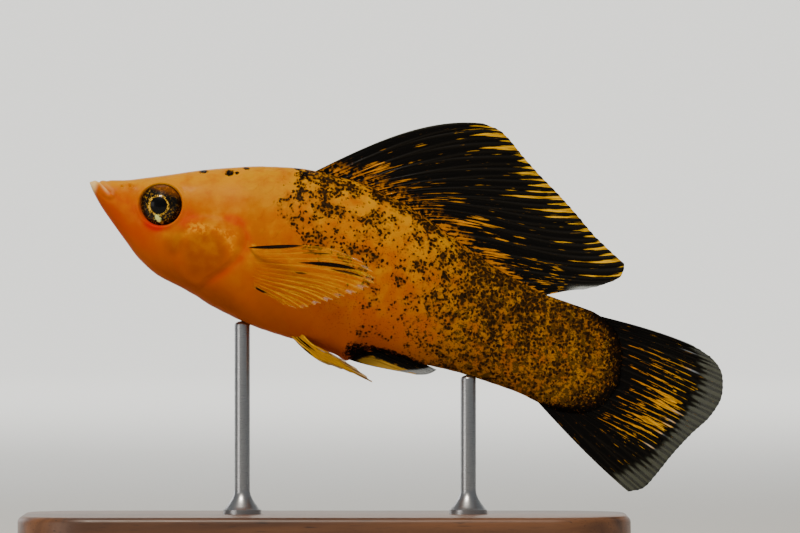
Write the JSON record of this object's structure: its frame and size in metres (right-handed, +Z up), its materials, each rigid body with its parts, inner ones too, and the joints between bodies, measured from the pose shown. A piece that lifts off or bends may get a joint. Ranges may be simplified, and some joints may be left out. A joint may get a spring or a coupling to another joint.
{
  "type": "sailfin molly model",
  "caption": "Life-size still model of a male sailfin molly, a small aquarium fish with a tall rayed back fin, swimming nose up on two rods over a flat base.",
  "frame": {"origin": "centre of the display base's underside, on the surface that it rests on", "axes": "+X towards the fish's tail, +Y towards its right side, +Z up; its head points towards -X and 20 degrees up"},
  "size_m": [0.0808, 0.036, 0.0486],
  "materials": {
    "flesh": "glossy wet scaled skin, orange with black flecks",
    "dark_fin": "thin rayed membrane, black with orange streaks",
    "amber_fin": "thin rayed membrane, clear amber",
    "eye": "polished clear cornea over a dark, gold-flecked iris",
    "base_wood": "satin oiled walnut",
    "rod_steel": "brushed stainless steel"
  },
  "bodies": {
    "root": {"head": "flesh", "trunk": "flesh", "tail_stem": "flesh", "eye_left": "eye", "eye_right": "eye", "dorsal_fin": "dark_fin", "caudal_fin": "dark_fin", "gonopodium": "dark_fin", "pectoral_fin_left": "amber_fin", "pectoral_fin_right": "amber_fin", "pelvic_fin_left": "amber_fin", "pelvic_fin_right": "amber_fin", "stand_base": "base_wood", "stand_rod_front": "rod_steel", "stand_rod_rear": "rod_steel"}
  },
  "joints": []
}
